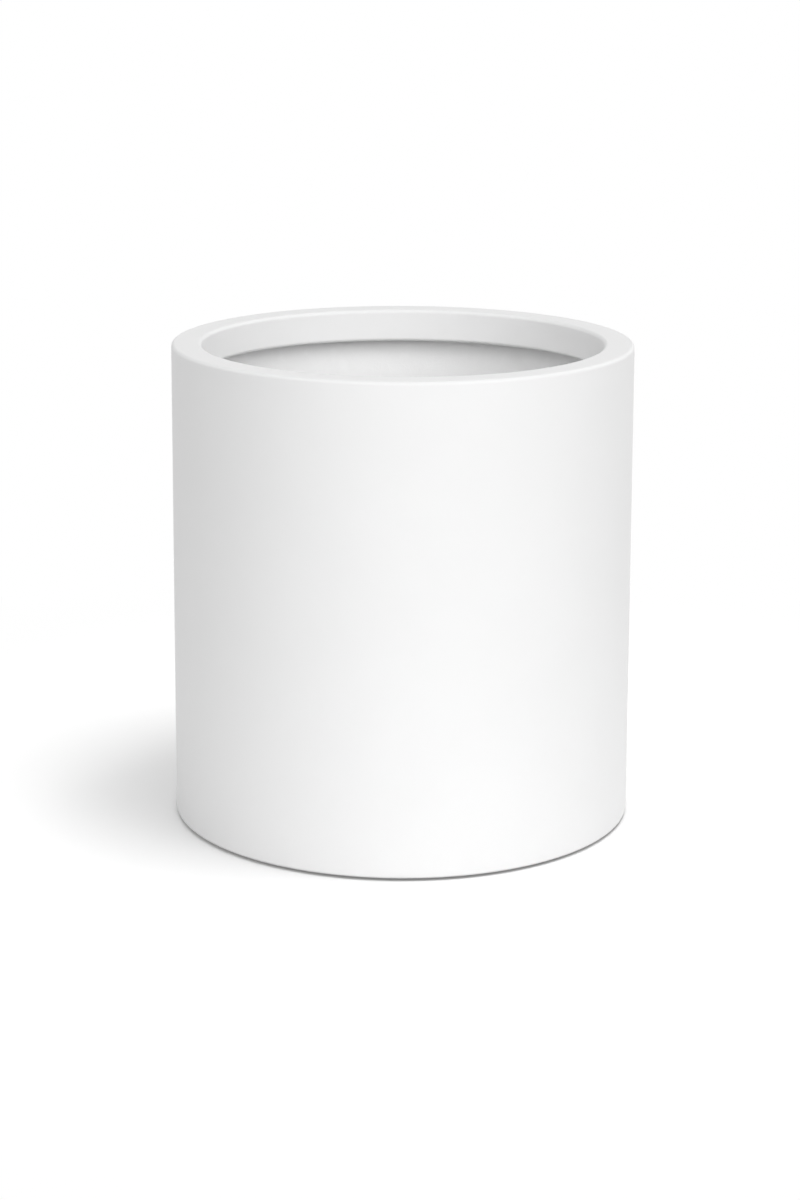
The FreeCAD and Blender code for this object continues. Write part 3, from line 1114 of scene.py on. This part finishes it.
class PLANTER_OT_bumpers(bpy.types.Operator):
    """Makes the tapered rubber bumpers under the floor"""

    bl_idname = "planter.make_bumpers"
    bl_label = "Foot bumpers"

    def execute(self, context):
        sizes = context.scene.planter_bumpers
        finishes = context.scene.planter_finishes
        materials = [rubber(finishes), foam_tape(finishes)]
        for number in range(PAD_COUNT):
            self.make_bumper(sizes, number, materials)
        return {"FINISHED"}

    @staticmethod
    def make_bumper(sizes, number, materials):
        ground_radius = sizes.top_radius - sizes.taper
        tape_bottom = sizes.height - sizes.tape
        tape_radius = sizes.top_radius - 0.3 * MM
        dish_radius, dish_depth = 3.2 * MM, 0.9 * MM
        groove_inner = dish_radius + 2.4 * MM
        groove_outer = dish_radius + 4.0 * MM
        groove_slope, groove_depth = 0.4 * MM, 0.5 * MM
        soft_edge, thin_edge = 0.25 * MM, 0.15 * MM
        bm = bmesh.new()
        draw_section(bm, [
            (0, dish_depth, 0),
            (dish_radius, dish_depth, 0.5 * MM),
            (dish_radius + dish_depth, 0, 0.4 * MM),
            (groove_inner, 0, soft_edge),
            (groove_inner + groove_slope, groove_depth, thin_edge),
            (groove_outer - groove_slope, groove_depth, thin_edge),
            (groove_outer, 0, soft_edge),
            (ground_radius, 0, sizes.edge),
            (sizes.top_radius, tape_bottom, thin_edge),
            (tape_radius, tape_bottom, 0),
            (tape_radius, sizes.height, 0.1 * MM),
            (0, sizes.height, 0),
        ], segments=5)
        spin_section(bm, sizes.steps)
        for face in bm.faces:
            face.material_index = int(face.calc_center_median().z > tape_bottom + 0.01 * MM)
        turn = math.tau * (number + 0.5) / PAD_COUNT
        place = Vector((math.cos(turn), math.sin(turn), 0)) * sizes.circle_radius
        bmesh.ops.translate(bm, verts=bm.verts[:], vec=place)
        finish_piece(
            bm, f"foot_bumper_{number + 1}", materials, "planter",
            [f"foot_pad_{number + 1}"],
        )


# ---------------------------------------------------------------- studio


def area_lamp(name, turn, rise, distance, size, power):
    """A square soft lamp, aimed at the planter. Turn goes from the camera's side towards the right."""
    data = bpy.data.lights.new(name, "AREA")
    data.shape = "SQUARE"
    data.size = size
    data.energy = power
    lamp = add_object(name, data)
    turn, rise = math.radians(turn), math.radians(rise)
    away = Vector((math.sin(turn) * math.cos(rise), -math.cos(turn) * math.cos(rise), math.sin(rise)))
    lamp.location = Vector((0, 0, CAD_BOX[1].z / 2)) + away * distance
    lamp.rotation_euler = away.to_track_quat("Z", "Y").to_euler()
    return lamp


def link_lamps(lamps, piece, state):
    """INCLUDE has the lamps light this piece alone, and EXCLUDE has them light all the others."""
    linked = bpy.data.collections.new(f"{piece.name}_{state.lower()}")
    linked.objects.link(piece)
    linked.collection_objects[0].light_linking.link_state = state
    for lamp in lamps:
        lamp.light_linking.receiver_collection = linked


class PLANTER_OT_studio(bpy.types.Operator):
    """Makes the plain pale floor, the soft studio light and the camera"""

    bl_idname = "planter.make_studio"
    bl_label = "Studio"

    def execute(self, context):
        studio = context.scene.planter_studio
        floor = self.lay_floor(studio)
        self.light_world(context.scene, studio)
        self.light_planter(studio, floor)
        self.light_floor(studio, floor)
        context.scene.camera = self.place_camera(studio)
        context.scene.view_settings.view_transform = "Standard"
        return {"FINISHED"}

    @staticmethod
    def lay_floor(studio):
        bm = bmesh.new()
        bmesh.ops.create_circle(bm, cap_ends=True, segments=96, radius=studio.floor_radius)
        floor = add_mesh(bm, "studio_floor", [studio_floor(studio)])
        return floor

    @staticmethod
    def light_planter(studio, floor):
        """Large soft lamps all round, which light the planter and leave the floor to its own lamps."""
        lamps = [
            area_lamp(
                f"{name}_lamp", turn, PLANTER_LAMP_RISE, PLANTER_LAMP_DISTANCE, PLANTER_LAMP_SIZE,
                power=getattr(studio, f"{name}_power"),
            )
            for name, turn in PLANTER_LAMPS.items()
        ]
        link_lamps(lamps, floor, "EXCLUDE")

    @staticmethod
    def light_floor(studio, floor):
        """High lamps that light the floor alone and throw the planter's soft shadow to the left."""
        lamps = [
            area_lamp(
                f"{name}_lamp", turn, rise, FLOOR_LAMP_DISTANCE, size,
                power=getattr(studio, f"{name}_power"),
            )
            for name, (turn, rise, size) in FLOOR_LAMPS.items()
        ]
        link_lamps(lamps, floor, "INCLUDE")

    @staticmethod
    def light_world(scene, studio):
        """Even grey light, which the camera and reflections see as white."""
        world = bpy.data.worlds.new("studio_world")
        world.use_nodes = True
        tree = world.node_tree
        tree.nodes.clear()
        even = add_node(tree, "ShaderNodeBackground", {"Color": WHITE, "Strength": studio.ambient})
        white = add_node(tree, "ShaderNodeBackground", {"Color": WHITE, "Strength": 1.0})
        both = add_node(
            tree, "ShaderNodeMixShader",
            {"Fac": seen_directly(tree), 1: even.outputs[0], 2: white.outputs[0]},
        )
        add_node(tree, "ShaderNodeOutputWorld", {"Surface": both.outputs[0]})
        scene.world = world

    @staticmethod
    def place_camera(studio):
        """Sets the camera to the photograph's angle and framing."""
        data = bpy.data.cameras.new("camera")
        data.sensor_width = SENSOR
        data.lens = studio.focal_pixels / max(PHOTO_SIZE) * SENSOR
        data.shift_y = -studio.shift_down / max(PHOTO_SIZE)
        camera = add_object("camera", data)
        tilt, roll = studio.camera_tilt, studio.camera_roll
        ahead = Vector((0, math.cos(tilt), -math.sin(tilt)))
        level_up = Vector((0, math.sin(tilt), math.cos(tilt)))
        level_right = Vector((1, 0, 0))
        right = level_right * math.cos(roll) + level_up * math.sin(roll)
        up = level_up * math.cos(roll) - level_right * math.sin(roll)
        aim = Vector((studio.aim_side, 0, studio.aim_height))
        place = aim - ahead * studio.camera_distance
        turned = Matrix((right, up, -ahead)).transposed().to_4x4()
        camera.matrix_world = Matrix.Translation(place) @ turned
        return camera


# ---------------------------------------------------------------- panel and registration


OPERATORS = (
    PLANTER_OT_shell,
    PLANTER_OT_floor,
    PLANTER_OT_stopper,
    PLANTER_OT_bumpers,
    PLANTER_OT_studio,
)
SETTINGS = (
    ("planter_shell", ShellSizes),
    ("planter_floor", FloorSizes),
    ("planter_stopper", StopperSizes),
    ("planter_bumpers", BumperSizes),
    ("planter_finishes", Finishes),
    ("planter_studio", StudioSettings),
)


class PLANTER_PT_panel(bpy.types.Panel):
    """Lists the pieces of the planter with their sizes and colours"""

    bl_label = "Floor planter"
    bl_idname = "PLANTER_PT_panel"
    bl_space_type = "VIEW_3D"
    bl_region_type = "UI"
    bl_category = "Planter"

    def draw(self, context):
        for operator in OPERATORS:
            self.layout.operator(operator.bl_idname, text=operator.bl_label)
        for holder, group in SETTINGS:
            box = self.layout.box()
            box.label(text=group.__doc__)
            for setting in group.__annotations__:
                box.prop(getattr(context.scene, holder), setting)


def register():
    for holder, group in SETTINGS:
        bpy.utils.register_class(group)
        setattr(bpy.types.Scene, holder, PointerProperty(type=group))
    for operator in OPERATORS:
        bpy.utils.register_class(operator)
    bpy.utils.register_class(PLANTER_PT_panel)


def unregister():
    bpy.utils.unregister_class(PLANTER_PT_panel)
    for operator in reversed(OPERATORS):
        bpy.utils.unregister_class(operator)
    for holder, group in reversed(SETTINGS):
        delattr(bpy.types.Scene, holder)
        bpy.utils.unregister_class(group)


def main():
    register()
    bpy.ops.planter.make_shell()
    bpy.ops.planter.make_floor()
    bpy.ops.planter.make_stopper()
    bpy.ops.planter.make_bumpers()
    bpy.ops.planter.make_studio()


if __name__ == "__main__":
    main()
